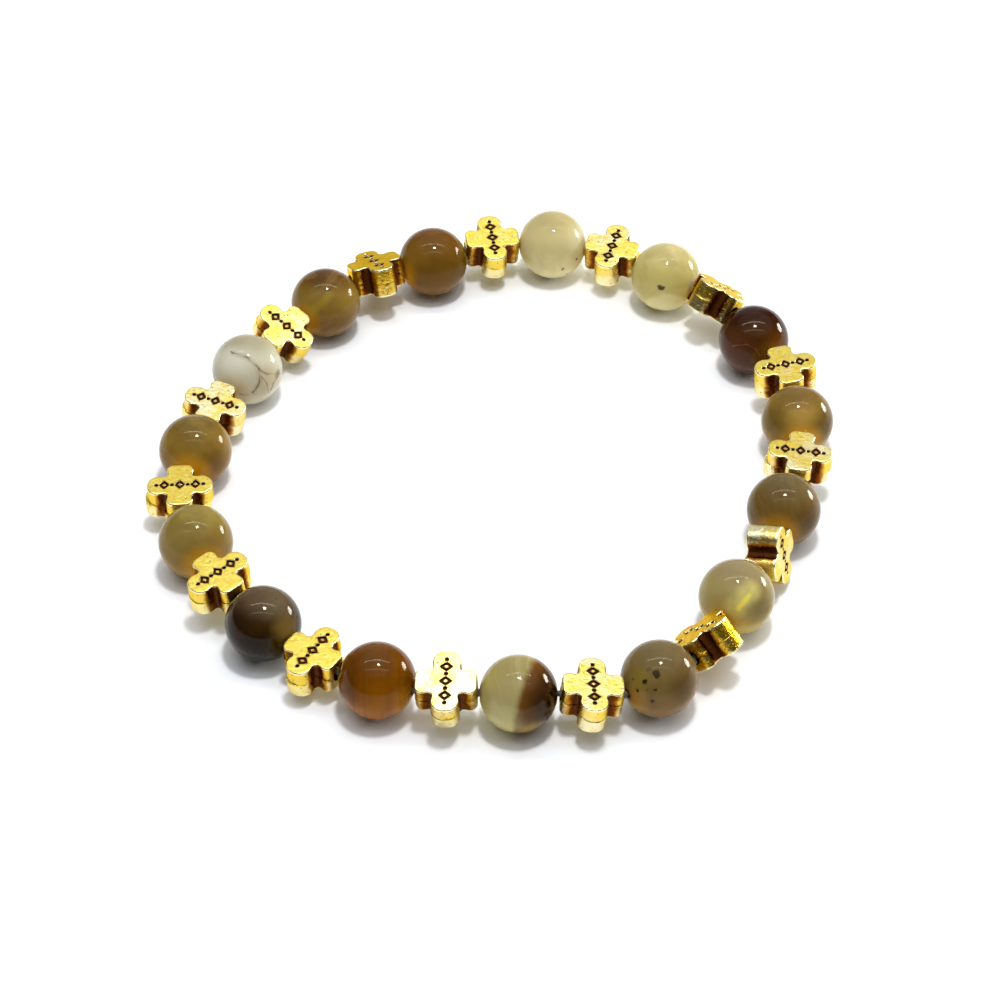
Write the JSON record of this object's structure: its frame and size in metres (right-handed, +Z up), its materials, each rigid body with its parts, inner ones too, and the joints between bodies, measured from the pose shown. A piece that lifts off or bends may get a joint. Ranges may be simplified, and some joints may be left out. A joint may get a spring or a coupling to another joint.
{
  "type": "beaded stretch bracelet",
  "caption": "Stretch bracelet of round polished agate beads and gold cross spacer beads, turn about on one clear elastic cord, lying as a closed loop.",
  "frame": {"origin": "on the surface the bracelet lies on, under the middle of its outline", "axes": "+Z up, square to the plane of the loop; +Y from the side nearest the camera to the far side; +X to the right as pictured"},
  "size_m": [0.0752, 0.081, 0.0083],
  "materials": {
    "agate_smoke": "polished",
    "agate_amber": "polished",
    "agate_umber": "polished",
    "agate_ash": "polished",
    "agate_cream": "polished",
    "agate_milk": "polished",
    "antique_gold": "polished gold plate, dark antiquing in the recesses",
    "clear_elastic": "clear gloss"
  },
  "bodies": {
    "root": {"elastic_cord": "clear_elastic", "stone_01": "agate_smoke", "stone_02": "agate_cream", "stone_03": "agate_cream", "stone_04": "agate_umber", "stone_05": "agate_smoke", "stone_06": "agate_ash", "stone_07": "agate_ash", "stone_08": "agate_smoke", "stone_09": "agate_ash", "stone_10": "agate_amber", "stone_11": "agate_umber", "stone_12": "agate_ash", "stone_13": "agate_smoke", "stone_14": "agate_milk", "stone_15": "agate_smoke", "cross_01": "antique_gold", "cross_02": "antique_gold", "cross_03": "antique_gold", "cross_04": "antique_gold", "cross_05": "antique_gold", "cross_06": "antique_gold", "cross_07": "antique_gold", "cross_08": "antique_gold", "cross_09": "antique_gold", "cross_10": "antique_gold", "cross_11": "antique_gold", "cross_12": "antique_gold", "cross_13": "antique_gold", "cross_14": "antique_gold", "cross_15": "antique_gold"}
  },
  "joints": []
}
